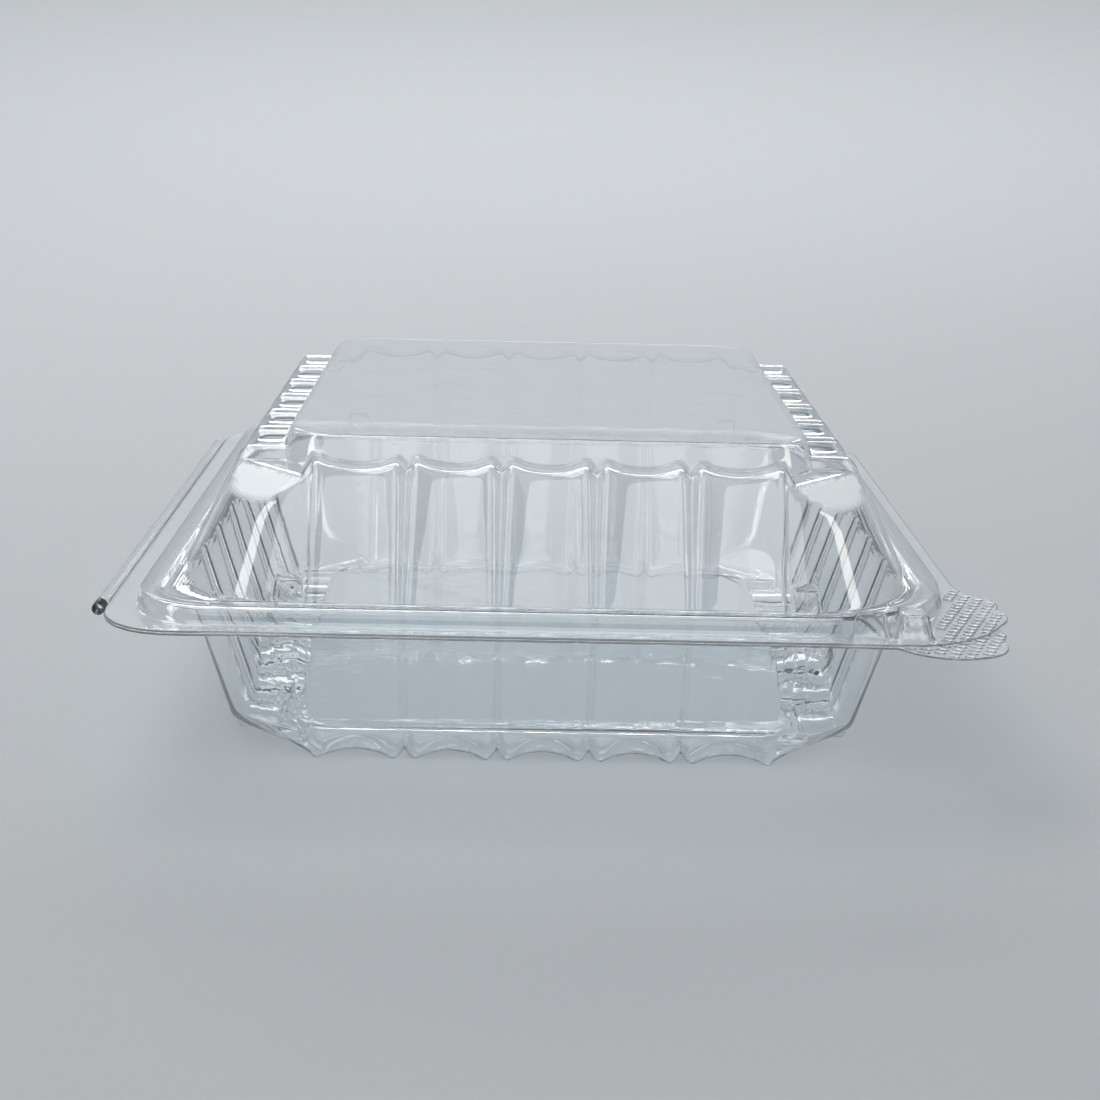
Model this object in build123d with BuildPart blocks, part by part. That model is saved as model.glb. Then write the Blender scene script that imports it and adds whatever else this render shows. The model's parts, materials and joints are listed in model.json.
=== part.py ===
"""Hinged clear food pack, thermoformed from one sheet: a fluted tray, a fluted lid and the
rolled bead that joins them. Millimetres, +Z up. The origin is the middle of the plane that
the tray stands on, the hinge runs along Y on the -X side and the pack opens at +X."""

import os
from math import cos, radians, sin, sqrt, tan

from build123d import *

# Sheet
skin = 0.4  # thickness of the formed sheet
clearance = 0.3  # between the lid and the tray wherever they nest

# Fluted plan, at the land where both walls start
flute_pitch = 22.5
front_flutes = 5
side_flutes = 6
corner_radius = 33.25
groove_half = 1.0  # half the width of a V groove where the wall starts
groove_half_top = 1.5  # the same where the wall turns over its shoulder
groove_depth = 1.0
groove_depth_top = 1.5
crest_width = 1.8  # round ridge on each side of a groove
crest_height = 0.3
end_rib_width = 2.8  # last ridge before the smooth corner
end_rib_height = 0.5
hollow_depth = 1.1  # how far each flute is dished
hollow_depth_top = 1.4
shoulder_radius = 2.6
shoulder_steps = 3
shoulder_trim = 0.05  # the tallest ridge stops this far under the wall's full height

# Tray
tray_height = 39.0  # from its foot to the closing plane
tray_lean = 17.0  # degrees from upright
tray_facet_start = 18.3  # plan distances from a corner's centre add up to this at the foot
tray_facet_slope = 1.57  # and grow by this for each millimetre away from it
tray_corner_drop = 2.0  # the foot's corners are this far short of its ridges
floor_rise = 3.0  # the floor panel is pushed up inside the foot
floor_margin = (11.2, 11.9)  # from the foot's outline to the floor panel, along X and Y
foot_ring = 3.0  # width of the flat ring round the floor panel

# Lid
lid_height = 34.0  # from the closing plane to the shoulder
lid_lean = 27.0
lid_facet_start = 14.5
lid_facet_slope = 1.85
lid_corner_drop = 3.0
panel_rise = 4.4  # the stacking panel above the shoulder
panel_margin = (10.6, 11.3)  # from the shoulder's outline to the panel's top
panel_radius = 13.0
panel_draft = 20.0  # degrees
panel_round = 1.3
panel_root = 4.0  # how far the panel's sides run down behind the shoulder

# Rim of the lid, above the closing plane: the land outside the wall, the closing bead and
# the flange. Reaches are measured outwards from the fluted plan.
land_rise = 3.6
bead_rise = 5.0
bead_inner = 1.2
bead_outer = 7.6
bead_draft = 10.0  # degrees
bead_round = 1.5
bead_radius_hinge = 20.0
bead_radius_open = 36.0
flange_hinge = 13.8
flange_open = 12.8
flange_end = 11.8
flange_radius_hinge = 17.0
flange_radius_open = 24.0

# Grip tabs at the open front corner, as (X, Y) steps outwards from the corner of the flange:
# a start, then the middle and end of each arc
lid_tab = [(0, 50.5), (2.2, 43), (5.7, 39.5), (7.7, 34.5), (6.5, 29.5), (7.9, 23.5), (5.2, 17.5)]
lid_tab += [(-3.3, 6.5), (-18.3, 0)]
tray_tab = [(0, 26.5), (3.2, 22.5), (4.2, 15.5), (4.6, 11), (3.1, 6.5), (2.5, -0.5), (-3.8, -5.8)]
tray_tab += [(-10.3, -7), (-22.3, 0)]

# Closing button and pip on the bead, placed from the same corner, and the lugs at the foot of
# the lid's front and back walls, which stop stacked lids from jamming
button_offset = (17.8, 8.6)
button_size = (9.0, 10.0)
button_radius = 2.0
button_rise = 6.0
pip_offset = 27.8
pip_size = (10.0, 4.4)
pip_rise = 5.9
latch_draft = 6.0  # degrees, on the button and the pip
lug_width = 7.0
lug_rise = 5.4  # above the land
lug_offset = 0.5  # from the last flute
lug_depth = 4.0
lug_set_back = 0.4  # from the land's inner edge
lug_radius = 0.8

# Hinge bead
hinge_radius = 1.5
hinge_length = 190.0
hinge_lip = 0.3  # from the bead to each flange's edge

half_x = front_flutes * flute_pitch / 2 + corner_radius
half_y = side_flutes * flute_pitch / 2 + corner_radius
open_x = half_x + flange_open
end_y = half_y + flange_end
hinge_x = -(half_x + flange_hinge + hinge_lip + hinge_radius)
flange_gap = clearance / 2
nest = skin + clearance  # from a face of the lid to the same face of the tray
bead_width = bead_outer - bead_inner
beyond = 10.0  # how far a cutting tool runs past what it cuts


def wall_point(side, along, out, inset):
    """Plan point on wall 0 to 3: along runs round the pack from the wall's middle."""
    half = (half_y, half_x)[side % 2] - inset + out
    return Vector(along, -half).rotate(Axis.Z, 90 * side)


def wave(flutes, half_width, depth, hollow):
    """One fluted run as (along, out) points: its start, then groups of one point for a straight
    line and two for an arc."""
    end = flutes * flute_pitch / 2
    crest = half_width + crest_width
    groups = [[(-end + end_rib_width / 2, end_rib_height), (-end + end_rib_width, 0)]]
    start = -end + end_rib_width
    for groove in range(1, flutes):
        middle = -end + groove * flute_pitch
        groups.append([((start + middle - crest) / 2, -hollow), (middle - crest, 0)])
        groups.append([(middle - (crest + half_width) / 2, crest_height), (middle - half_width, 0)])
        groups.append([(middle, -depth)])
        groups.append([(middle + half_width, 0)])
        groups.append([(middle + (crest + half_width) / 2, crest_height), (middle + crest, 0)])
        start = middle + crest
    stop = end - end_rib_width
    groups.append([((start + stop) / 2, -hollow), (stop, 0)])
    groups.append([(end - end_rib_width / 2, end_rib_height), (end, 0)])
    return groups


def trace(groups, here, place):
    """Draws the groups of wave() in the active BuildLine, with each point placed by place()."""
    for group in groups:
        points = [place(along, out) for along, out in group]
        if len(points) == 1:
            Line(here, points[0])
        else:
            ThreePointArc(here, points[0], points[1])
        here = points[-1]


def fluted_section(level, inset, share):
    """Fluted plan at a level above the land. share runs from 0 there to 1 at the shoulder."""
    half_width = groove_half + share * (groove_half_top - groove_half)
    depth = groove_depth + share * (groove_depth_top - groove_depth)
    hollow = hollow_depth + share * (hollow_depth_top - hollow_depth)
    radius = corner_radius - inset
    with BuildSketch(Plane.XY.offset(level)) as section:
        with BuildLine():
            for side in range(4):
                end = (front_flutes, side_flutes)[side % 2] * flute_pitch / 2
                next_end = (side_flutes, front_flutes)[side % 2] * flute_pitch / 2
                start = wall_point(side, -end, 0, inset)
                finish = wall_point(side, end, 0, inset)
                flutes = (front_flutes, side_flutes)[side % 2]
                place = lambda along, out: wall_point(side, along, out, inset)
                trace(wave(flutes, half_width, depth, hollow), start, place)
                centre = wall_point(side, end, -radius, inset)
                middle = centre + Vector(radius, 0).rotate(Axis.Z, 90 * side - 45)
                ThreePointArc(finish, middle, wall_point(side + 1, -next_end, 0, inset))
        make_face()
    return section.sketch


def shoulder_cutter(flutes, near, far, level, side):
    """What lies above the wavy shoulder of one wall, between two distances from the middle."""
    end = flutes * flute_pitch / 2
    top = level + beyond
    groups = wave(flutes, groove_half_top, groove_depth_top, hollow_depth_top)
    turn = 90 * side
    outwards = Vector(0, -1, 0).rotate(Axis.Z, turn)
    plane = Plane(outwards * near, x_dir=Vector(-1, 0, 0).rotate(Axis.Z, turn), z_dir=outwards)
    with BuildPart() as cutter:
        with BuildSketch(plane):
            with BuildLine():
                trace(groups, Vector(-end, level), lambda along, out: Vector(along, level + out))
                Polyline((end, level), (end, top), (-end, top), (-end, level))
            make_face()
        extrude(amount=far - near)
    return cutter.part


def corner_facet(x, y, height, start, slope, inset):
    """Plane across one corner. On it the plan distances from the corner's centre add up to
    start at the given height, and grow by slope for each millimetre down."""
    centre = Vector(x * front_flutes * flute_pitch / 2, y * side_flutes * flute_pitch / 2, height)
    flat = Vector(x, y, 0).normalized()
    normal = (flat + Vector(0, 0, slope / sqrt(2))).normalized()
    point = centre + flat * (start / sqrt(2)) - normal * inset
    return Plane(point, x_dir=Vector(-y, x, 0).normalized(), z_dir=normal)


def fluted_body(height, lean, start, slope, drop, below, inset):
    """Solid inside the fluted wall, from below the land up to the wavy shoulder. inset moves
    every face inwards, which gives the inner side of the sheet."""
    rise = tan(radians(lean))
    sideways = inset / cos(radians(lean))
    bend = shoulder_radius - inset
    top = height - inset
    turn = top - bend * (1 - sin(radians(lean)))
    sections = [fluted_section(-below, sideways - below * rise, 0)]
    for step in range(shoulder_steps + 1):
        angle = radians(lean + (90 - lean) * step / shoulder_steps)
        level = turn + bend * (sin(angle) - sin(radians(lean)))
        reach = sideways + turn * rise + bend * (cos(radians(lean)) - cos(angle))
        sections.append(fluted_section(level, reach, 1))
    crest = top - end_rib_height - shoulder_trim
    cutters = []
    for side in range(4):
        flutes = (front_flutes, side_flutes)[side % 2]
        far = (half_y, half_x)[side % 2]
        near = far - height * rise - 2 * max(panel_margin)
        cutters.append(shoulder_cutter(flutes, near, far + beyond, crest, side))
    with BuildPart() as body:
        loft(sections=sections, ruled=True)
        for cutter in cutters:
            add(cutter, mode=Mode.SUBTRACT)
        with BuildSketch(Plane.XY.offset(top - drop)):
            for x in (-1, 1):
                for y in (-1, 1):
                    with Locations((x * half_x, y * half_y)):
                        Rectangle(2 * (corner_radius + inset), 2 * (corner_radius + inset))
        extrude(amount=2 * beyond, mode=Mode.SUBTRACT)
        for x in (-1, 1):
            for y in (-1, 1):
                facet = corner_facet(x, y, height, start, slope, inset)
                split(bisect_by=facet, keep=Keep.BOTTOM)
    return body.part


def rim_plan(reach, hinge_side, open_side):
    """Rounded rectangle at a reach outside the fluted plan, with its two kinds of corner."""
    with BuildSketch() as plan:
        Rectangle(2 * (half_x + reach), 2 * (half_y + reach))
        fillet(plan.vertices().group_by(Axis.X)[0], hinge_side)
        fillet(plan.vertices().group_by(Axis.X)[-1], open_side)
    return plan.sketch


def flange_plate(bottom, tab):
    """Flat flange with its grip tab, one sheet thick. tab is the tab's outline."""
    points = [(open_x + x, y - end_y) for x, y in tab]
    with BuildPart() as plate:
        with BuildSketch(Plane.XY.offset(bottom)):
            with Locations(((flange_open - flange_hinge) / 2, 0)):
                Rectangle(2 * half_x + flange_hinge + flange_open, 2 * end_y)
            fillet(vertices().group_by(Axis.X)[0], flange_radius_hinge)
            fillet(vertices().group_by(Axis.X)[-1], flange_radius_open)
            with BuildLine():
                for index in range(0, len(points) - 2, 2):
                    ThreePointArc(*points[index : index + 3])
                Line(points[-1], points[0])
            make_face()
        extrude(amount=skin)
    return plate.part


def rim_block(inset, bottom):
    """Solid under the rim: bead, button and pip, and the land inside them. inset gives the inner
    side of the sheet, and with a clearance added, the tray's own bead."""
    reach = bead_outer - inset / cos(radians(bead_draft)) - bottom * tan(radians(bead_draft))
    spread = -inset - bottom * tan(radians(latch_draft))
    button_centre = (open_x - button_offset[0], button_offset[1] - end_y)
    pip_centre = (open_x - pip_offset, -(half_y + (bead_inner + bead_outer) / 2))
    land_hinge = bead_radius_hinge - bead_width + inset
    land_open = bead_radius_open - bead_width + inset
    with BuildPart() as block:
        with BuildSketch(Plane.XY.offset(bottom)):
            add(rim_plan(reach, bead_radius_hinge - inset, bead_radius_open - inset))
        extrude(amount=bead_rise - inset - bottom, taper=bead_draft)
        fillet(block.faces().sort_by(Axis.Z)[-1].edges(), bead_round - inset)
        with BuildSketch(Plane.XY.offset(land_rise - inset)):
            add(rim_plan(bead_inner + inset, land_hinge, land_open))
        extrude(amount=beyond, mode=Mode.SUBTRACT)
        with BuildSketch(Plane.XY.offset(bottom)):
            with Locations(button_centre):
                sides = [size + 2 * spread for size in button_size]
                RectangleRounded(*sides, button_radius + spread)
        extrude(amount=button_rise - inset - bottom, taper=latch_draft)
        with BuildSketch(Plane.XY.offset(bottom)):
            with Locations(pip_centre):
                SlotOverall(*[size + 2 * spread for size in pip_size])
        extrude(amount=pip_rise - inset - bottom, taper=latch_draft)
    return block.part


def panel_block(half_width, half_length, bottom, top, inset):
    """Drafted and rounded panel whose half sizes are those of its top, before any inset."""
    spread = (top - inset - bottom) * tan(radians(panel_draft)) - inset
    width = 2 * (half_width + spread)
    length = 2 * (half_length + spread)
    with BuildPart() as block:
        with BuildSketch(Plane.XY.offset(bottom)):
            RectangleRounded(width, length, panel_radius + spread)
        extrude(amount=top - bottom - inset, taper=panel_draft)
        fillet(block.faces().sort_by(Axis.Z)[-1].edges(), panel_round - inset)
    return block.part


def lug_block(inset):
    """The four lugs outside the last flutes of the front and back walls."""
    middle = front_flutes * flute_pitch / 2 + lug_offset + lug_width / 2
    front = half_y - lug_set_back - inset
    with BuildPart() as block:
        with BuildSketch(Plane.XY.offset(land_rise - inset - skin)):
            for x in (-middle, middle):
                for y in (-1, 1):
                    with Locations((x, y * (front - lug_depth / 2))):
                        RectangleRounded(lug_width - 2 * inset, lug_depth, lug_radius - inset)
        extrude(amount=lug_rise + skin)
    return block.part


def lid_side(inset, bottom):
    """The lid's outer side, or its inner side with an inset, as a solid above the rim plane."""
    height = lid_height - land_rise
    shape = (lid_lean, lid_facet_start, lid_facet_slope, lid_corner_drop)
    wall = fluted_body(height, *shape, land_rise / 2, inset)
    shrink = height * tan(radians(lid_lean))
    half_width = half_x - shrink - panel_margin[0]
    half_length = half_y - shrink - panel_margin[1]
    root = lid_height - panel_root
    panel = panel_block(half_width, half_length, root, lid_height + panel_rise, inset)
    rim = rim_block(inset, bottom)
    lugs = lug_block(inset)
    with BuildPart() as side:
        add(rim)
        add(wall.moved(Location((0, 0, land_rise))))
        add(panel)
        add(lugs)
    return side.part


def tray_side(inset, below):
    """The tray's outer side, or its inner side with an inset, upside down: its foot is at the
    top and its land at height 0."""
    height = tray_height + land_rise - nest
    shape = (tray_lean, tray_facet_start, tray_facet_slope, tray_corner_drop)
    wall = fluted_body(height, *shape, below, inset)
    shrink = height * tan(radians(tray_lean))
    width = 2 * (half_x - shrink - floor_margin[0])
    length = 2 * (half_y - shrink - floor_margin[1])
    ring = 2 * (foot_ring - inset)
    with BuildPart() as side:
        add(wall)
        with BuildSketch(Plane.XY.offset(height - inset)):
            RectangleRounded(width + ring, length + ring, panel_radius + ring / 2)
        extrude(amount=-floor_rise)
        with BuildSketch(Plane.XY.offset(height - floor_rise - inset)):
            RectangleRounded(width + 2 * inset, length + 2 * inset, panel_radius + inset)
        extrude(amount=2 * floor_rise, taper=-panel_draft, mode=Mode.SUBTRACT)
    return side.part


def lid_shell():
    """The lid, with the closing plane at height 0."""
    plate = flange_plate(flange_gap, lid_tab)
    outer = lid_side(0, flange_gap)
    inner = lid_side(skin, -beyond / 2)
    with BuildPart() as shell:
        add(plate)
        add(outer)
        add(inner, mode=Mode.SUBTRACT)
    return shell.part


def tray_shell():
    """The tray, with the closing plane at height 0."""
    plate = flange_plate(-flange_gap - skin, tray_tab)
    bead = rim_block(nest, -flange_gap - skin)
    under_bead = rim_block(nest + skin, -beyond / 2)
    land = Location((0, 0, land_rise - nest))
    outer = tray_side(0, -skin / 2).mirror(Plane.XY).moved(land)
    inner = tray_side(skin, 2 * skin).mirror(Plane.XY).moved(land)
    with BuildPart() as shell:
        add(plate)
        add(bead)
        add(under_bead, mode=Mode.SUBTRACT)
        add(outer)
        add(inner, mode=Mode.SUBTRACT)
    return shell.part


os.makedirs("parts", exist_ok=True)
closing_plane = Location((0, 0, tray_height))
lid_sheet = lid_shell()
tray_sheet = tray_shell()

with BuildPart() as base:
    add(tray_sheet.moved(closing_plane))

with BuildPart() as lid:
    add(lid_sheet.moved(closing_plane))

# Open tube with its mouth towards the pack, where two lips meet the edges of the flanges
hinge_start = Plane((hinge_x, -hinge_length / 2, tray_height), x_dir=(1, 0, 0), z_dir=(0, 1, 0))
lip_start = hinge_radius - skin / 2
lip_length = hinge_lip + skin / 2
with BuildPart() as hinge:
    with BuildSketch(hinge_start):
        Circle(hinge_radius)
        Circle(hinge_radius - skin, mode=Mode.SUBTRACT)
        with Locations((hinge_radius, 0)):
            Rectangle(2 * hinge_radius, 2 * flange_gap, mode=Mode.SUBTRACT)
        for lip in (-1, 1):
            with Locations((lip_start + lip_length / 2, lip * (flange_gap + skin / 2))):
                Rectangle(lip_length, skin)
    extrude(amount=hinge_length)

base.part.label = "base"
lid.part.label = "lid"
hinge.part.label = "hinge"
export_step(base.part, "parts/base.step")
export_step(lid.part, "parts/lid.step")
export_step(hinge.part, "parts/hinge.step")
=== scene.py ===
"""Clear hinged food pack: a fluted tray and lid formed from one sheet of clear PET. The shell of
each half is a sheet whose height is worked out from its walls, panels, beads and latch."""

import json
from math import cos, radians, sin, tan
from types import SimpleNamespace

import bmesh
import bpy
import numpy as np
from mathutils import Matrix, Vector


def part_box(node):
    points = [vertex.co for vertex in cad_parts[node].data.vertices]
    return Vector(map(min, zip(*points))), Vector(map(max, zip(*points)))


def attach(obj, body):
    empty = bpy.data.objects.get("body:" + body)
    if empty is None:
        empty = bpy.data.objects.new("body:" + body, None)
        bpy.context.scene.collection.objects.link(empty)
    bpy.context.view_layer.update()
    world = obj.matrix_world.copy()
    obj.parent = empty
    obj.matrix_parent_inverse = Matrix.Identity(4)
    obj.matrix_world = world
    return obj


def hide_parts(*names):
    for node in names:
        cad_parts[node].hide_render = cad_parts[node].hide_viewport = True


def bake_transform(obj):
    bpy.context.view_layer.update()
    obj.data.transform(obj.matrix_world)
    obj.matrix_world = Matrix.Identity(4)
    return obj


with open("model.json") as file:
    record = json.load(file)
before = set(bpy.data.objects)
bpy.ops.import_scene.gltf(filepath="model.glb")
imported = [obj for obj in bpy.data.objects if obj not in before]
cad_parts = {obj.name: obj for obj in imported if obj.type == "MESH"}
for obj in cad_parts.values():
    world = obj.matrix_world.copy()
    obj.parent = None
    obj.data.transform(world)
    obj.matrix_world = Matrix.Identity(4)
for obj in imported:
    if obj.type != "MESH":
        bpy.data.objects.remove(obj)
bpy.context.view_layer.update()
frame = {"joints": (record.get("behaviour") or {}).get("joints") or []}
scene = bpy.context.scene

MM = 0.001
hinge_joint = frame["joints"][0]
HINGE_X, _, CLOSING = (value / MM for value in hinge_joint["pos_m"])
LID_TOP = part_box("lid")[1][2] / MM - CLOSING  # top of the stacking panel over the closing plane

# Sheet, in millimetres like every size below
SHEET = 0.4
NEST = 0.7  # from a face of the lid to the same face of the tray
FLANGE_GAP = 0.15  # from the closing plane to each flange

# Fluted plan
PITCH = 22.5
FRONT_FLUTES = 5
SIDE_FLUTES = 6
CORE_X = FRONT_FLUTES * PITCH / 2
CORE_Y = SIDE_FLUTES * PITCH / 2
CORNER_RADIUS = 33.25
HALF_X = CORE_X + CORNER_RADIUS
HALF_Y = CORE_Y + CORNER_RADIUS
GROOVE_HALF = (0.95, 1.6)  # at the land, at the shoulder
GROOVE_DEPTH = (1.0, 1.7)
CREST_WIDTH = (1.8, 2.3)
CREST_HEIGHT = (0.3, 0.45)
HOLLOW_DEPTH = (1.0, 1.4)
RIB_WIDTH = 2.8
RIB_HEIGHT = 0.5

# Walls: height over the land, lean in degrees, corner facet's start, slope and corner drop
LAND = 3.6
LID_WALL = dict(height=34.0 - LAND, lean=27.0, start=14.5, slope=1.85, drop=3.0)
TRAY_WALL = dict(height=CLOSING + LAND - NEST, lean=17.0, start=18.3, slope=1.57, drop=2.0)
CORNER_STEP = 2.4  # width over which the shoulder drops into a corner
FACET_FADE = 3.0  # slope at which a facet's plane rises clear of the fluted sides
SHOULDER_BLEND = 3.4  # width over which two faces round into one another, as every blend below
FACET_BLEND = 0.9
WALL_FOOT_BLEND = 0.8

# Stacking panel on the lid and raised floor of the tray
PANEL_HALF = (63.4, 73.9)  # outline of the panel's top
FLOOR_HALF = (65.5, 76.0)  # outline of the floor panel
PANEL_RADIUS = 13.0
PANEL_DRAFT = 20.0
PANEL_EDGE_BLEND = 0.9
PANEL_FOOT_BLEND = 1.4
FLOOR_RISE = 3.0
FLOOR_EDGE = 1.0  # how far its sloped edge has dropped at the outline
FLOOR_BLEND = 1.0

# Rim
BEAD_TOP = 5.0
BEAD_INNER = 1.2
BEAD_OUTER = 7.6
BEAD_DRAFT_INNER = 24.0
BEAD_DRAFT_OUTER = 12.0
BEAD_CROWN_BLEND = 0.9
BEAD_ROOT_BLEND = 0.5
BEAD_OUTER_BLEND = 1.6
FLANGE_BLEND = 0.7
BEAD_RADIUS_HINGE = 12.4  # of the bead's plan at reach 0
BEAD_RADIUS_OPEN = 28.4
FLANGE_HINGE = 13.8
FLANGE_OPEN = 12.8
FLANGE_END = 11.8
FLANGE_RADIUS_HINGE = 17.0
FLANGE_RADIUS_OPEN = 24.0
HINGE_RADIUS = 1.5
HINGE_LENGTH = 190.0
OPEN_X = HALF_X + FLANGE_OPEN
END_Y = HALF_Y + FLANGE_END

# Latch and lugs: centre, half sizes, top over the closing plane
BUTTON = ((OPEN_X - 17.8, 8.6 - END_Y), (4.5, 5.0), 6.0)
BUTTON_CORNER = 1.8
BOSS_DRAFT = 14.0
BOSS_TOP_BLEND = 0.5
BOSS_FOOT_BLEND = 0.35
PIP = ((OPEN_X - 27.8, -HALF_Y - 4.4), (5.0, 2.2), 5.9)
LATCH = (OPEN_X - 22.5, 7.5 - END_Y)  # part of the rim cut finer for them
LATCH_HALF = (12.0, 8.5)
LUG_CENTRE = (CORE_X + 4.0, HALF_Y - 2.4)
LUG_HALF = (3.5, 2.0)
LUG_TOP = 9.0
LUG_CORNER = 0.8
LUG_DRAFT = 8.0
LUG_TOP_BLEND = 0.5
LUG_FOOT_BLEND = 0.3

# Grip tabs: a start, then the middle and end of each arc, from the flange's open front corner
LID_TAB = [(0, 50.5), (2.2, 43), (5.7, 39.5), (7.7, 34.5), (6.5, 29.5), (7.9, 23.5), (5.2, 17.5)]
LID_TAB += [(-3.3, 6.5), (-18.3, 0)]
TRAY_TAB = [(0, 26.5), (3.2, 22.5), (4.2, 15.5), (4.6, 11), (3.1, 6.5), (2.5, -0.5), (-3.8, -5.8)]
TRAY_TAB += [(-10.3, -7), (-22.3, 0)]

# Rings of the sheets: distances outside a panel's outline, the land's plan and the bead's plan
LID_SPREAD = (-2.2, -1.3, -0.7, -0.25, 0.15, 0.5, 0.9, 1.4, 1.9, 2.4, 3.2)
LID_BEND = (-19.5, -18.2, -17.1, -16.2, -15.4, -14.7, -13.9, -13.0, -12.0, -10.4, -8.6, -6.8, -5.0)
LID_BEND += (-3.4, -2.6, -2.0, -1.4, -0.9, -0.5, -0.2, 0.0)
TRAY_SPREAD = (-1.6, -1.0, -0.5, 0.0, 0.4, 0.8, 1.2, 1.6, 2.2)
TRAY_BEND = (-16.4, -15.4, -14.6, -13.9, -13.3, -12.7, -12.2, -11.7, -11.2, -10.4, -9.2, -8.0, -6.8)
TRAY_BEND += (-5.6, -4.4, -3.2, -2.2, -1.5, -0.9, -0.4, 0.1)
RIM = (0.8, 1.2, 1.6, 2.1, 3.0, 4.3, 5.4, 6.0, 6.4, 6.7, 6.95, 7.2, 7.5, 7.9, 8.5)
SHARES = (0.2, 0.4, 0.6, 0.8)  # of the way across the shoulder's top and across the flange
CUT = 0.4  # from the last ring but one to the cut edge

# Rays of the sheets, and the steps of the finer work
BESIDE_GROOVE = 3.6  # from a groove, where rays are this close:
GROOVE_STEP = 0.45
FLUTE_STEPS = 8  # places across the rest of a flute, its ends included
CORNER_FAN = ((0, 14, 13), (14, 76, 15), (76, 90, 13))  # degrees from, degrees to, rays
LATCH_FAN = ((0, 90, 111),)  # the same for the corner with the latch and the tabs
LATCH_CUTS = 2
FAR = 80.0  # longer than any ray
HALVINGS = 40  # of a ray, to find where it meets an outline
ARC_SLACK = 0.01
HINGE_ROUND_STEPS = 28
HINGE_LONG_STEPS = 40

# Surface: grip knurl, corner reeding, ripple, puckers, frost on the flanges and painted sheen on the lid
KNURL_ROW = 2.6
KNURL_BAND = 3.4
KNURL_ROWS = 30
KNURL_BANDS = 8
KNURL_TURN = 23.0  # from Y to the line the bands follow
KNURL_EDGE = 1.0  # from the cut edge to a dash's centre
KNURL_CLEAR = 1.3  # from the bead's or the button's foot to a dash's centre
KNURL_HALF = (1.45, 0.8, 0.25)  # half length, half width, rise of a dash
KNURL_SEGMENTS = 10
KNURL_RINGS = 6
REED_PITCH = 0.8
REED_WIDTH = 6.0
REED_FADE = 1.0
REED_RISE = 0.08
REED_LEVEL = 0.4  # furthest above or below the land
RIPPLE_SIZE = 14.0  # slow waves left in the sheet by forming
RIPPLE_RISE = 0.04
PUCKER_SIZE = 5.5  # in the tray's corners, where it is drawn deepest
PUCKER_RISE = 0.3
PUCKER_TOP = (1.0, 6.0)  # inside the land's plan, where puckers start and are full
PUCKER_NEAR = 3.0  # past the last flute, where they are full
PUCKER_FAR = (12.0, 6.0)  # past it, where they have gone and where they start to weaken
# Frost takes clearness away and roughens the sheet. On the flanges it is frost. On the lid's corner
# facets and panel the same whitening is painted sheen, standing in for lamp light reflected there.
CLEARNESS = 0.98
FROST_AND_SHEEN_CLOUD = 0.5  # clearness lost under full frost, and under full painted sheen
FORMED_ROUGHNESS = 0.015
FROST_AND_SHEEN_ROUGHNESS = 0.3  # added under full frost, and under full painted sheen
PANEL_SHEEN = 0.08  # painted sheen on the panel, a whitish haze standing in for reflected light, in shares of full frost
FLANGE_FROST = 0.1
PANEL_SHEEN_EDGE = 0.2  # from the panel's outline in to its painted sheen
# Painted sheen on the corner facets: whitened and blurred where they reflect the lamps
FACET_SHEEN_CLEAR = 1.5  # from the panel's outline out to a facet's painted sheen
FACET_SHEEN_EDGE = 0.6  # how far a facet cuts under the wall where its painted sheen is full
FACET_SHEEN_FOOT = (3.0, 7.0)  # height over the land where it starts and is full
PLAIN = SimpleNamespace(flutes=0, along=0.0)  # a place with no flute
# Marks kept on the sheets for their material: the second is frost on the flanges and painted sheen on
# the lid's corner facets and panel
MARKS = ("reach", "frost_and_sheen", "crinkle", "reeded")


def soft_min(a, b, blend):
    """The smaller of two heights, rounded where they cross."""
    share = np.clip(0.5 + 0.5 * (b - a) / blend, 0, 1)
    return b + (a - b) * share - blend * share * (1 - share)


def soft_max(a, b, blend):
    return -soft_min(-a, -b, blend)


def mix(pair, share):
    return pair[0] + (pair[1] - pair[0]) * share


def outside(x, y, half_x, half_y, radius):
    """Distance outside a rounded rectangle, negative inside it."""
    p = np.abs(x) - half_x + radius
    q = np.abs(y) - half_y + radius
    return np.hypot(np.maximum(p, 0), np.maximum(q, 0)) + np.minimum(np.maximum(p, q), 0) - radius


def bead_reach(x, y):
    """Distance outside the plan of the closing bead, whose corners are tighter at the hinge."""
    radius = np.where(x < 0, BEAD_RADIUS_HINGE, BEAD_RADIUS_OPEN)
    return outside(x, y, HALF_X, HALF_Y, radius)


def fade(value, low, high):
    """0 at low, 1 at high, straight between."""
    return np.clip((value - low) / (high - low), 0, 1)


def flute_wave(along, flutes, share):
    """How far a fluted run stands out of its plain line. share is 0 at the land and 1 at the
    shoulder, where the grooves are wider and deeper."""
    half = mix(GROOVE_HALF, share)
    crest = mix(CREST_WIDTH, share)
    end = flutes * PITCH / 2
    flute = np.clip(np.floor((along + end) / PITCH), 0, flutes - 1)
    left = -end + flute * PITCH
    right = left + PITCH
    low = np.where(flute == 0, left + RIB_WIDTH, left + half + crest)
    high = np.where(flute == flutes - 1, right - RIB_WIDTH, right - half - crest)
    middle = (2 * along - low - high) / (high - low)
    wave = -mix(HOLLOW_DEPTH, share) * np.clip(1 - middle**2, 0, 1)
    from_groove = np.minimum(
        np.where(flute == 0, PITCH, along - left), np.where(flute == flutes - 1, PITCH, right - along)
    )
    on_crest = np.clip(1 - ((from_groove - half - crest / 2) / (crest / 2)) ** 2, 0, 1)
    on_groove = np.clip(1 - from_groove / half, 0, 1)
    from_end = end - np.abs(along)
    on_rib = np.clip(1 - ((from_end - RIB_WIDTH / 2) / (RIB_WIDTH / 2)) ** 2, 0, 1)
    wave += mix(CREST_HEIGHT, share) * on_crest - mix(GROOVE_DEPTH, share) * on_groove
    return wave + RIB_HEIGHT * on_rib


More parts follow.
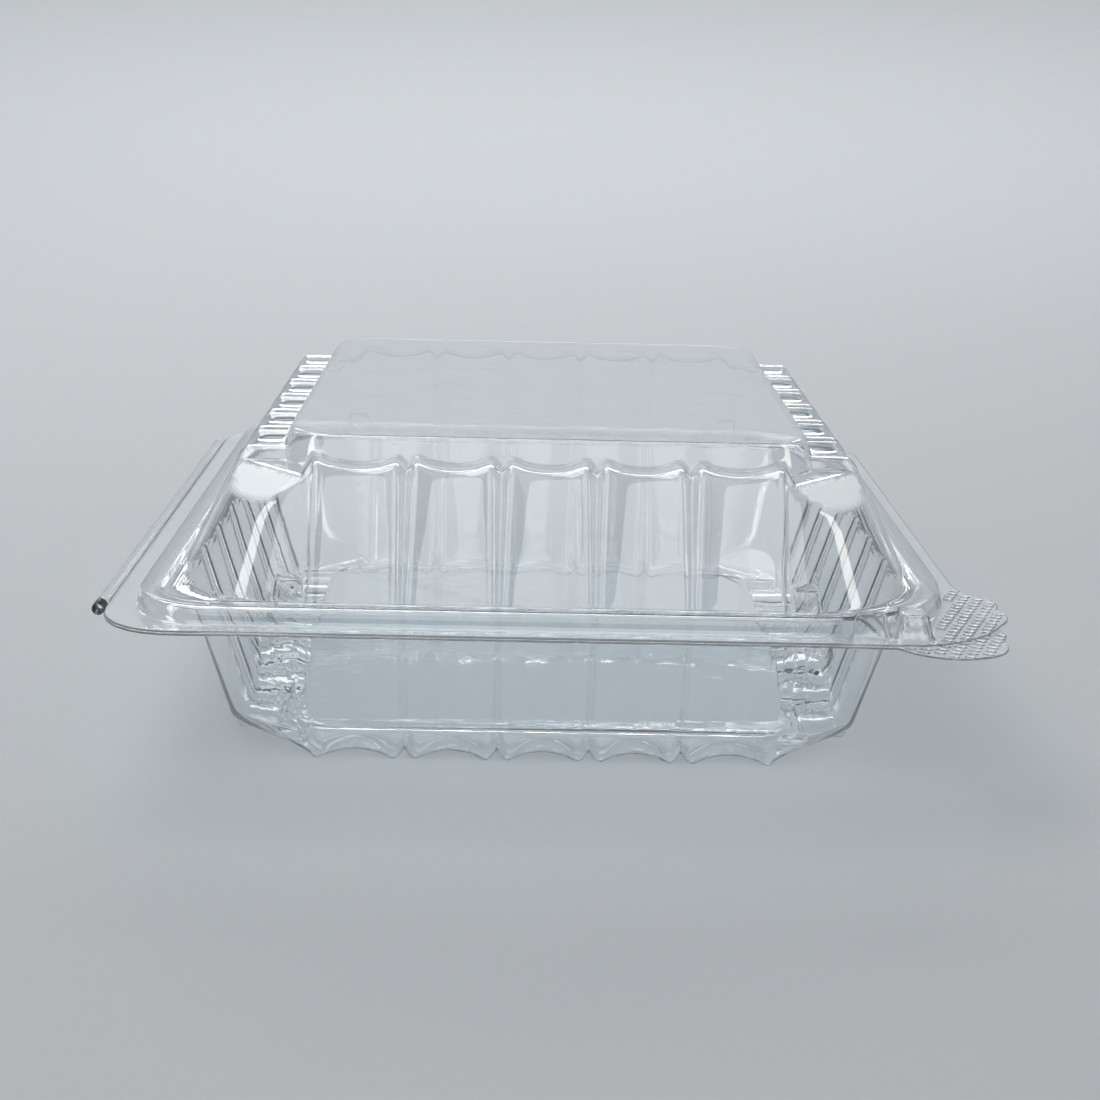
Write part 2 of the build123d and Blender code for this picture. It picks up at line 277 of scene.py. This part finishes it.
def wall_parts(x, y, rays, wall, inset):
    """Heights over the land of the fluted wall with its wavy shoulder, and of the corner facets
    that cut it."""
    rise = tan(radians(wall["lean"]))
    reach = outside(x, y, HALF_X, HALF_Y, CORNER_RADIUS) + inset / cos(radians(wall["lean"]))
    share = np.clip(-reach / (wall["height"] * rise), 0, 1)
    wave = np.where(rays.flutes > 0, flute_wave(rays.along, np.maximum(rays.flutes, 1), share), 0)
    p = np.abs(x) - CORE_X
    q = np.abs(y) - CORE_Y
    corner = np.clip(np.minimum(p, q) / CORNER_STEP, 0, 1)
    step = corner * corner * (3 - 2 * corner)
    top = wall["height"] - inset - RIB_HEIGHT + wave - (wall["drop"] - RIB_HEIGHT) * step
    side = (wave - reach) / rise
    facet = wall["height"] - inset - (p + q - wall["start"]) / wall["slope"]
    facet += FACET_FADE * np.maximum(-np.minimum(p, q), 0)
    return soft_min(side, top, SHOULDER_BLEND), facet


def rim_height(x, y, inset, flange):
    """Height over the closing plane of the land, the bead, the latch and the flange."""
    reach = bead_reach(x, y)
    outer = (BEAD_OUTER - inset - reach) / tan(radians(BEAD_DRAFT_OUTER))
    inner = LAND - inset + (reach - BEAD_INNER - inset) / tan(radians(BEAD_DRAFT_INNER))
    bead = soft_min(inner, BEAD_TOP - inset, BEAD_CROWN_BLEND)
    inside = soft_max(bead, LAND - inset, BEAD_ROOT_BLEND)
    height = soft_min(outer, inside, BEAD_OUTER_BLEND)
    for (centre, half, top), corner in ((BUTTON, BUTTON_CORNER), (PIP, PIP[1][1])):
        gone = outside(x - centre[0], y - centre[1], *half, corner) + inset
        boss = soft_min(-gone / tan(radians(BOSS_DRAFT)), top - inset, BOSS_TOP_BLEND)
        height = soft_max(height, boss, BOSS_FOOT_BLEND)
    return soft_max(height, flange, FLANGE_BLEND)


def lid_height(x, y, rays):
    """Height of the lid's outer face over the closing plane."""
    body = soft_min(*wall_parts(x, y, rays, LID_WALL, 0), FACET_BLEND)
    gone = outside(x, y, *PANEL_HALF, PANEL_RADIUS)
    panel = soft_min(-gone / tan(radians(PANEL_DRAFT)), 0, PANEL_EDGE_BLEND) + LID_TOP - LAND
    body = soft_max(body, panel, PANEL_FOOT_BLEND)
    height = rim_height(x, y, 0, FLANGE_GAP + SHEET) + soft_max(body, 0, WALL_FOOT_BLEND)
    gone = outside(np.abs(x) - LUG_CENTRE[0], np.abs(y) - LUG_CENTRE[1], *LUG_HALF, LUG_CORNER)
    lug = soft_min(-gone / tan(radians(LUG_DRAFT)) + LAND, LUG_TOP, LUG_TOP_BLEND)
    return soft_max(height, lug, LUG_FOOT_BLEND)


def tray_height(x, y, rays):
    """Height of the tray's inner face over the closing plane."""
    body = soft_min(*wall_parts(x, y, rays, TRAY_WALL, SHEET), FACET_BLEND)
    gone = outside(x, y, *FLOOR_HALF, PANEL_RADIUS) - SHEET
    floor = TRAY_WALL["height"] - SHEET - FLOOR_RISE
    floor = soft_max(floor, floor + gone / tan(radians(PANEL_DRAFT)) + FLOOR_EDGE, FLOOR_BLEND)
    body = soft_min(body, floor, FLOOR_BLEND)
    return rim_height(x, y, NEST, -FLANGE_GAP) - soft_max(body, 0, WALL_FOOT_BLEND)


def reeded(reach, height, land):
    """How strongly the corner lands are reeded: in full on the land, fading out at its edges."""
    on_land = np.abs(height - land) < REED_LEVEL
    return on_land * fade(reach, -REED_WIDTH, REED_FADE - REED_WIDTH) * fade(reach, 0, -REED_FADE)


def lid_marks(x, y, rays):
    """Distance outside the bead in metres; how far the lid is frosted on its flanges and whitened by
    painted sheen on its corner facets and panel; and how crinkled and reeded it is.
    """
    wall, facet = wall_parts(x, y, rays, LID_WALL, 0)
    on_panel = outside(x, y, *PANEL_HALF, PANEL_RADIUS)
    # Painted sheen: the corner facets, full where they cut under the wall, and the panel are whitened as
    # if reflecting the lamps. The flanges beyond the bead are frosted.
    frost_and_sheen = fade(wall - facet, 0, FACET_SHEEN_EDGE) * fade(facet, *FACET_SHEEN_FOOT)
    frost_and_sheen *= on_panel > FACET_SHEEN_CLEAR
    frost_and_sheen = np.maximum(frost_and_sheen, PANEL_SHEEN * (on_panel < -PANEL_SHEEN_EDGE))
    reach = bead_reach(x, y)
    frost_and_sheen = np.maximum(frost_and_sheen, FLANGE_FROST * (reach > BEAD_OUTER))
    return reach * MM, frost_and_sheen, np.zeros_like(x), reeded(reach, lid_height(x, y, rays), LAND)


def tray_marks(x, y, rays):
    """The same for the tray, which puckers beside its end flutes where it is drawn deepest."""
    reach = bead_reach(x, y)
    past = np.minimum(np.abs(x) - CORE_X, np.abs(y) - CORE_Y)
    puckers = fade(-reach, *PUCKER_TOP) * fade(past, 0, PUCKER_NEAR) * fade(past, *PUCKER_FAR)
    frost_and_sheen = FLANGE_FROST * (reach > BEAD_OUTER)
    return reach * MM, frost_and_sheen, puckers, reeded(reach, tray_height(x, y, rays), LAND - NEST)


class Rays:
    """Lines that run outwards across the sheet, one for each vertex of a ring. Each starts on the
    core rectangle, square to a straight side or fanned round one of its corners."""

    def __init__(self):
        near = np.linspace(0, BESIDE_GROOVE, round(BESIDE_GROOVE / GROOVE_STEP) + 1)
        middle = np.linspace(BESIDE_GROOVE, PITCH - BESIDE_GROOVE, FLUTE_STEPS)[1:-1]
        step = np.concatenate([near, middle, PITCH - near[:0:-1]])
        rows = []
        for side in range(4):
            flutes = (FRONT_FLUTES, SIDE_FLUTES)[side % 2]
            end = flutes * PITCH / 2
            core = (CORE_Y, CORE_X)[side % 2]
            for flute in range(flutes):
                for along in step - end + flute * PITCH:
                    rows.append((side, along, -core, 0.0, flutes, along))
            for low, high, count in (CORNER_FAN if side else LATCH_FAN):
                for angle in np.linspace(low, high, count, endpoint=False):
                    rows.append((side, end, -core, radians(angle), 0, 0.0))
        side, ax, ay, lean, self.flutes, self.along = np.array(rows).T
        turn = np.radians(90) * side
        self.x = ax * np.cos(turn) - ay * np.sin(turn)
        self.y = ax * np.sin(turn) + ay * np.cos(turn)
        self.dx = np.sin(lean) * np.cos(turn) + np.cos(lean) * np.sin(turn)
        self.dy = np.sin(lean) * np.sin(turn) - np.cos(lean) * np.cos(turn)
        self.count = len(rows)

    def at(self, distance):
        return self.x + self.dx * distance, self.y + self.dy * distance

    def to(self, gone):
        """Distance along each ray at which gone(x, y) turns positive."""
        low = np.zeros(self.count)
        high = np.full(self.count, FAR)
        for _ in range(HALVINGS):
            middle = (low + high) / 2
            inside = gone(*self.at(middle)) < 0
            low = np.where(inside, middle, low)
            high = np.where(inside, high, middle)
        return low

    def to_arc(self, start, middle, end):
        """Distance along each ray to an arc through three points, or 0 where it misses."""
        (ax, ay), (bx, by), (cx, cy) = start, middle, end
        twice = 2 * (ax * (by - cy) + bx * (cy - ay) + cx * (ay - by))
        a, b, c = ax * ax + ay * ay, bx * bx + by * by, cx * cx + cy * cy
        ox = (a * (by - cy) + b * (cy - ay) + c * (ay - by)) / twice
        oy = (a * (cx - bx) + b * (ax - cx) + c * (bx - ax)) / twice
        radius = np.hypot(ax - ox, ay - oy)
        px, py = self.x - ox, self.y - oy
        along = -(px * self.dx + py * self.dy)
        square = along**2 - px**2 - py**2 + radius**2
        best = np.zeros(self.count)
        bulge = (cx - ax) * (by - ay) - (cy - ay) * (bx - ax)
        for sign in (-1, 1):
            distance = along + sign * np.sqrt(np.maximum(square, 0))
            hx, hy = self.at(distance)
            on_arc = ((cx - ax) * (hy - ay) - (cy - ay) * (hx - ax)) * bulge >= -ARC_SLACK
            best = np.where((square > 0) & on_arc, np.maximum(best, distance), best)
        return best


def flange_edge(rays, tab):
    """Distance along each ray to the cut edge of a flange with its grip tab."""
    middle = (FLANGE_OPEN - FLANGE_HINGE) / 2
    half = HALF_X + (FLANGE_OPEN + FLANGE_HINGE) / 2

    def gone(x, y):
        radius = np.where(x < 0, FLANGE_RADIUS_HINGE, FLANGE_RADIUS_OPEN)
        return outside(x - middle, y, half, END_Y, radius)

    edge = rays.to(gone)
    points = [(OPEN_X + x, y - END_Y) for x, y in tab]
    for index in range(0, len(points) - 2, 2):
        edge = np.maximum(edge, rays.to_arc(*points[index : index + 3]))
    return edge


def ring_distances(rays, outline, spread, bend, tab):
    """Distances along the rays of every ring outside the panel's outline, nearest first."""
    foot = [rays.to(lambda x, y: outside(x, y, *outline, PANEL_RADIUS) - out) for out in spread]
    wall = [rays.to(lambda x, y: outside(x, y, HALF_X, HALF_Y, CORNER_RADIUS) - out) for out in bend]
    rim = [rays.to(lambda x, y: bead_reach(x, y) - out) for out in RIM]
    edge = flange_edge(rays, tab)
    shoulder = [mix((foot[-1], wall[0]), share) for share in SHARES]
    flange = [mix((rim[-1], edge), share) for share in SHARES]
    return foot + shoulder + wall + rim + flange + [edge - CUT, edge]


def refine(bm, height):
    """Cuts the faces round the latch finer and sets their heights again."""

    def near(vert):
        gone = outside(vert.co.x / MM - LATCH[0], vert.co.y / MM - LATCH[1], *LATCH_HALF, 0)
        return gone < 0

    edges = [edge for edge in bm.edges if all(near(vert) for vert in edge.verts)]
    bmesh.ops.subdivide_edges(bm, edges=edges, cuts=LATCH_CUTS, use_grid_fill=True)
    verts = [vert for vert in bm.verts if near(vert)]
    x, y = np.array([vert.co.xy for vert in verts]).T / MM
    for vert, z in zip(verts, height(x, y, PLAIN)):
        vert.co.z = (z + CLOSING) * MM


def formed_sheet(name, rays, distances, height, marks):
    """Sheet grown ring by ring from the edge of its flat middle, raised to height(x, y, rays),
    marked for its material and given its thickness on the underside."""
    rings = [rays.at(distance) for distance in distances]
    bm = bmesh.new()
    order = bm.verts.layers.int.new("ray")
    layers = [bm.verts.layers.float.new(mark) for mark in MARKS]
    circle = bmesh.ops.create_circle(bm, cap_ends=True, segments=rays.count, radius=1)["verts"]
    for index, vert in enumerate(circle):
        vert[order] = index
    verts = circle
    edges = list(bm.edges)
    for number, (x, y) in enumerate(rings):
        if number:
            grown = bmesh.ops.extrude_edge_only(bm, edges=edges)["geom"]
            verts = [item for item in grown if isinstance(item, bmesh.types.BMVert)]
            edges = [edge for edge in grown if isinstance(edge, bmesh.types.BMEdge) and edge.is_boundary]
        z = height(x, y, rays) + CLOSING
        places = np.stack([x, y, z], axis=1) * MM
        values = np.stack(marks(x, y, rays), axis=1)
        for vert in verts:
            vert.co = places[vert[order]]
            for layer, value in zip(layers, values[vert[order]]):
                vert[layer] = value
    refine(bm, height)
    bmesh.ops.recalc_face_normals(bm, faces=bm.faces)
    middle = min(bm.faces, key=lambda face: face.calc_center_median().xy.length)
    if middle.normal.z < 0:
        bmesh.ops.reverse_faces(bm, faces=bm.faces)
    mesh = bpy.data.meshes.new(name)
    bm.to_mesh(mesh)
    bm.free()
    mesh.shade_smooth()
    sheet = bpy.data.objects.new(name, mesh)
    scene.collection.objects.link(sheet)
    solid = sheet.modifiers.new("Thickness", "SOLIDIFY")
    solid.thickness = SHEET * MM
    solid.offset = -1
    solid.use_even_offset = True
    solid.use_quality_normals = True
    return sheet


def within(x, y, outline_x, outline_y):
    """Whether a point lies inside a closed outline, by the crossings of a line from it along X."""
    next_x, next_y = np.roll(outline_x, -1), np.roll(outline_y, -1)
    spans = (outline_y > y) != (next_y > y)
    across = outline_x + (y - outline_y) * (next_x - outline_x) / np.where(spans, next_y - outline_y, 1)
    return np.count_nonzero(spans & (across > x)) % 2 == 1


def knurl(name, tab, level):
    """Raised dashes on a grip tab, in staggered rows beyond a line across it. The lower half of
    each is sunk in the sheet."""
    edge_x, edge_y = rays.at(flange_edge(rays, tab))
    turn = radians(KNURL_TURN)
    start = Vector((OPEN_X, LID_TAB[0][1] - END_Y))
    bm = bmesh.new()
    for band in range(KNURL_BANDS):
        for row in range(KNURL_ROWS):
            out = (band + 0.5) * KNURL_BAND
            along = (row - 0.5 * (band % 2)) * KNURL_ROW
            x = start.x + out * cos(turn) - along * sin(turn)
            y = start.y - out * sin(turn) - along * cos(turn)
            if not within(x, y, edge_x, edge_y) or np.hypot(edge_x - x, edge_y - y).min() < KNURL_EDGE:
                continue
            from_bead = outside(x, y, HALF_X, HALF_Y, BEAD_RADIUS_OPEN) - BEAD_OUTER
            (button_x, button_y), half, top = BUTTON
            from_button = outside(x - button_x, y - button_y, *half, BUTTON_CORNER)
            if min(from_bead, from_button - top * tan(radians(BOSS_DRAFT))) < KNURL_CLEAR:
                continue
            place = Matrix.Translation((x * MM, y * MM, level * MM)) @ Matrix.Rotation(-turn, 4, "Z")
            size = Matrix.Diagonal((*(value * MM for value in KNURL_HALF), 1))
            bmesh.ops.create_uvsphere(
                bm,
                u_segments=KNURL_SEGMENTS,
                v_segments=KNURL_RINGS,
                radius=1,
                matrix=place @ size,
            )
    mesh = bpy.data.meshes.new(name)
    bm.to_mesh(mesh)
    bm.free()
    mesh.shade_smooth()
    dashes = bpy.data.objects.new(name, mesh)
    scene.collection.objects.link(dashes)
    return dashes


def hinge_bead(name):
    """Rolled bead along the hinge: an open tube whose two lips meet the flanges."""
    lip = FLANGE_GAP + SHEET
    turn = np.arcsin(lip / HINGE_RADIUS)
    lip_x = FLANGE_HINGE + HALF_X
    bm = bmesh.new()
    low = (HINGE_X + HINGE_RADIUS * cos(turn), -HINGE_LENGTH / 2, CLOSING - lip)
    first = bm.verts.new(low)
    start = bm.verts.new((-lip_x, *low[1:]))
    bm.edges.new((start, first))
    centre = (HINGE_X, -HINGE_LENGTH / 2, CLOSING)
    round_back = 2 * np.pi - 2 * turn
    spun = bmesh.ops.spin(
        bm, geom=[first], cent=centre, axis=(0, 1, 0), angle=round_back, steps=HINGE_ROUND_STEPS
    )
    last = [item for item in spun["geom_last"] if isinstance(item, bmesh.types.BMVert)][0]
    end = bm.verts.new((-lip_x, low[1], CLOSING + lip))
    bm.edges.new((last, end))
    row = list(bm.edges)
    for _ in range(HINGE_LONG_STEPS):
        grown = bmesh.ops.extrude_edge_only(bm, edges=row)["geom"]
        verts = [item for item in grown if isinstance(item, bmesh.types.BMVert)]
        bmesh.ops.translate(bm, verts=verts, vec=(0, HINGE_LENGTH / HINGE_LONG_STEPS, 0))
        edges = [item for item in grown if isinstance(item, bmesh.types.BMEdge)]
        row = [edge for edge in edges if all(vert in verts for vert in edge.verts)]
    bmesh.ops.scale(bm, verts=bm.verts, vec=(MM, MM, MM))
    bmesh.ops.recalc_face_normals(bm, faces=bm.faces)
    bmesh.ops.solidify(bm, geom=list(bm.faces), thickness=SHEET * MM)
    bmesh.ops.recalc_face_normals(bm, faces=bm.faces)
    mesh = bpy.data.meshes.new(name)
    bm.to_mesh(mesh)
    bm.free()
    mesh.shade_smooth()
    bead = bpy.data.objects.new(name, mesh)
    scene.collection.objects.link(bead)
    return bead


rays = Rays()
lid_rings = ring_distances(rays, PANEL_HALF, LID_SPREAD, LID_BEND, LID_TAB)
lid = formed_sheet("lid_sheet", rays, lid_rings, lid_height, lid_marks)

tray_rings = ring_distances(rays, FLOOR_HALF, TRAY_SPREAD, TRAY_BEND, TRAY_TAB)
tray = formed_sheet("tray_sheet", rays, tray_rings, tray_height, tray_marks)

hinge = hinge_bead("hinge_bead")
lid_knurl = knurl("lid_knurl", LID_TAB, CLOSING + FLANGE_GAP + SHEET)
tray_knurl = knurl("tray_knurl", TRAY_TAB, CLOSING - FLANGE_GAP)


def colour(code):
    """sRGB hex to linear RGBA."""
    parts = [int(code[at : at + 2], 16) / 255 for at in (1, 3, 5)]
    return [part / 12.92 if part <= 0.04045 else ((part + 0.055) / 1.055) ** 2.4 for part in parts] + [1]


def node(tree, kind, inputs=None, **settings):
    """Adds a node, sets its properties, and sets or links its inputs. A node given for an input is
    linked by its first output."""
    made = tree.nodes.new(kind)
    for key, value in settings.items():
        setattr(made, key, value)
    for key, value in (inputs or {}).items():
        if isinstance(value, bpy.types.Node):
            value = value.outputs[0]
        if isinstance(value, bpy.types.NodeSocket):
            tree.links.new(value, made.inputs[key])
        else:
            made.inputs[key].default_value = value
    return made


def clear_sheet():
    """Clear PET sheet, thermoformed: glossy and clear, a little frosted on its flanges, reeded on its
    corner lands, rippled by forming and puckered in the tray's corners. The lid's corner facets, and a
    little its panel, are whitened and blurred as painted sheen, standing in for the lamp light they
    reflect."""
    material = bpy.data.materials.new("clear_pet_sheet")
    material.use_nodes = True
    tree = material.node_tree
    tree.nodes.clear()
    place = node(tree, "ShaderNodeTexCoord").outputs["Object"]
    reach, frost_and_sheen, crinkle, reeds = (
        node(tree, "ShaderNodeAttribute", attribute_name=mark).outputs["Fac"] for mark in MARKS
    )
    ripple = node(tree, "ShaderNodeTexNoise", {"Vector": place, "Scale": 1 / (RIPPLE_SIZE * MM)})
    pucker = node(tree, "ShaderNodeTexNoise", {"Vector": place, "Scale": 1 / (PUCKER_SIZE * MM)})
    puckers = node(tree, "ShaderNodeMath", {0: pucker, 1: crinkle}, operation="MULTIPLY")
    turn = 2 * np.pi / (REED_PITCH * MM)
    ribs = node(tree, "ShaderNodeMath", {0: reach, 1: turn}, operation="MULTIPLY")
    ribs = node(tree, "ShaderNodeMath", {0: ribs}, operation="SINE")
    ribs = node(tree, "ShaderNodeMath", {0: ribs, 1: reeds}, operation="MULTIPLY")
    relief = node(tree, "ShaderNodeMath", {0: ripple, 1: RIPPLE_RISE}, operation="MULTIPLY")
    relief = node(
        tree, "ShaderNodeMath", {0: puckers, 1: PUCKER_RISE, 2: relief}, operation="MULTIPLY_ADD"
    )
    relief = node(tree, "ShaderNodeMath", {0: ribs, 1: REED_RISE, 2: relief}, operation="MULTIPLY_ADD")
    bump = node(tree, "ShaderNodeBump", {"Height": relief, "Strength": 1.0, "Distance": MM})
    # Frost and painted sheen take clearness away and let the white base colour show. On the lid's facets
    # and panel this whitening is painted sheen standing in for reflected lamp light.
    clearness = node(
        tree, "ShaderNodeMath", {0: frost_and_sheen, 1: -FROST_AND_SHEEN_CLOUD, 2: CLEARNESS}, operation="MULTIPLY_ADD"
    )
    rough = node(tree, "ShaderNodeMath", {0: frost_and_sheen, 1: 2.0}, operation="POWER")
    rough = node(
        tree,
        "ShaderNodeMath",
        {0: rough, 1: FROST_AND_SHEEN_ROUGHNESS, 2: FORMED_ROUGHNESS},
        operation="MULTIPLY_ADD",
    )
    surface = {
        "Base Color": colour("#fafcfd"),
        "Roughness": rough,
        "IOR": 1.57,
        "Transmission Weight": clearness,
        "Normal": bump,
    }
    plastic = node(tree, "ShaderNodeBsdfPrincipled", surface)
    through = node(tree, "ShaderNodeBsdfTransparent", {"Color": colour("#e6e9eb")})
    shadow = node(tree, "ShaderNodeLightPath").outputs["Is Shadow Ray"]
    both = node(tree, "ShaderNodeMixShader", {0: shadow, 1: plastic, 2: through})
    node(tree, "ShaderNodeOutputMaterial", {"Surface": both})
    return material


sheet_material = clear_sheet()
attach(lid, "lid")
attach(tray, "base")
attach(lid_knurl, "lid")
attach(tray_knurl, "base")
for piece in (lid, tray, hinge, lid_knurl, tray_knurl):
    piece.data.materials.append(sheet_material)
for piece, cad in ((lid, "lid"), (tray, "base"), (hinge, "hinge")):
    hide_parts(cad)
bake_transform(hinge)


# Studio, in metres
FLOOR_SIDE = 5.0
FLOOR_BACK = 0.8  # from the pack's middle to where the floor starts to curve up
FLOOR_CURVE = 3.0
FLOOR_TURN = 80.0  # degrees
FLOOR_TOP = Vector((0, 0.2, 1.5))  # run above the curve
FLOOR_STEPS = 48
SOFT_BOXES = (  # name, place, target, size, watts, colour
    ("key", (-0.5, 0.3, 1.1), (0, 0, 0), (1.2, 0.6), 5.5, "#ffffff"),
    ("back", (0, 1.6, 0.95), (0, 0, 0.04), (1.8, 0.2), 7.5, "#fdfdff"),
    ("left", (-1.1, -0.5, 0.5), (0, 0, 0.04), (0.2, 0.8), 2.0, "#ffffff"),
    ("right", (1.1, -0.4, 0.5), (0, 0, 0.04), (0.2, 0.8), 2.0, "#fffaf4"),
    ("wash", (0, 1.3, 2.2), (0, 3.4, 0.6), (3.0, 0.6), 30, "#ffffff"),
)


def painted_floor():
    """Matt emulsion paint, rolled: pale, with no gloss."""
    material = bpy.data.materials.new("matt_pale_paint")
    material.use_nodes = True
    surface = material.node_tree.nodes["Principled BSDF"]
    surface.inputs["Base Color"].default_value = colour("#b6b9bb")
    surface.inputs["Roughness"].default_value = 0.75
    return material


def backdrop():
    """Pale floor that curves up behind the pack."""
    bm = bmesh.new()
    front = bm.verts.new((-FLOOR_SIDE, -FLOOR_SIDE, 0))
    back = bm.verts.new((-FLOOR_SIDE, FLOOR_BACK, 0))
    bm.edges.new((front, back))
    centre = back.co + Vector((0, 0, FLOOR_CURVE))
    bmesh.ops.spin(
        bm, geom=[back], cent=centre, axis=(1, 0, 0), angle=radians(FLOOR_TURN), steps=FLOOR_STEPS
    )
    top = max(bm.verts, key=lambda vert: vert.co.z)
    rise = bm.verts.new(top.co + FLOOR_TOP)
    bm.edges.new((top, rise))
    grown = bmesh.ops.extrude_edge_only(bm, edges=list(bm.edges))["geom"]
    verts = [item for item in grown if isinstance(item, bmesh.types.BMVert)]
    bmesh.ops.translate(bm, verts=verts, vec=(2 * FLOOR_SIDE, 0, 0))
    mesh = bpy.data.meshes.new("floor")
    bm.to_mesh(mesh)
    bm.free()
    mesh.shade_smooth()
    floor = bpy.data.objects.new("floor", mesh)
    scene.collection.objects.link(floor)
    floor.data.materials.append(painted_floor())


def soft_box(name, place, target, size, watts, tint):
    """Rectangular light at a place, facing a target."""
    light = bpy.data.lights.new(name, "AREA")
    light.shape = "RECTANGLE"
    light.size, light.size_y = size
    light.energy = watts
    light.color = colour(tint)[:3]
    lamp = bpy.data.objects.new(name, light)
    lamp.location = place
    lamp.rotation_euler = (Vector(target) - Vector(place)).to_track_quat("-Z", "Y").to_euler()
    scene.collection.objects.link(lamp)


def camera():
    """Camera 0.54 m in front and 0.18 m up, looking 15 degrees down."""
    yaw, pitch, roll = radians(0.9), radians(15.1), radians(1.4)
    ahead = Vector((sin(yaw) * cos(pitch), cos(yaw) * cos(pitch), -sin(pitch)))
    level = Vector((cos(yaw), -sin(yaw), 0))
    up = level.cross(ahead)
    right = level * cos(roll) + up * sin(roll)
    top = up * cos(roll) - level * sin(roll)
    data = bpy.data.cameras.new("camera")
    data.sensor_width = 36
    data.lens = 64.6
    made = bpy.data.objects.new("camera", data)
    place = Vector((-6.5, -538.9, 136.3 + CLOSING)) * MM
    made.matrix_world = Matrix.Translation(place) @ Matrix((right, top, -ahead)).transposed().to_4x4()
    scene.collection.objects.link(made)
    scene.camera = made


backdrop()
for settings in SOFT_BOXES:
    soft_box(*settings)
sky = bpy.data.lights.new("sky", "SUN")
sky.energy = 1.1
sky.angle = radians(60)
overhead = bpy.data.objects.new("sky", sky)
overhead.rotation_euler = (radians(45), 0, radians(-10))
scene.collection.objects.link(overhead)
world = bpy.data.worlds.new("studio")
world.use_nodes = True
world.node_tree.nodes["Background"].inputs["Color"].default_value = colour("#7d8186")
world.node_tree.nodes["Background"].inputs["Strength"].default_value = 1.0
scene.world = world
scene.view_settings.view_transform = "Standard"
scene.cycles.max_bounces = 24
scene.cycles.transmission_bounces = 20
scene.cycles.transparent_max_bounces = 32
camera()
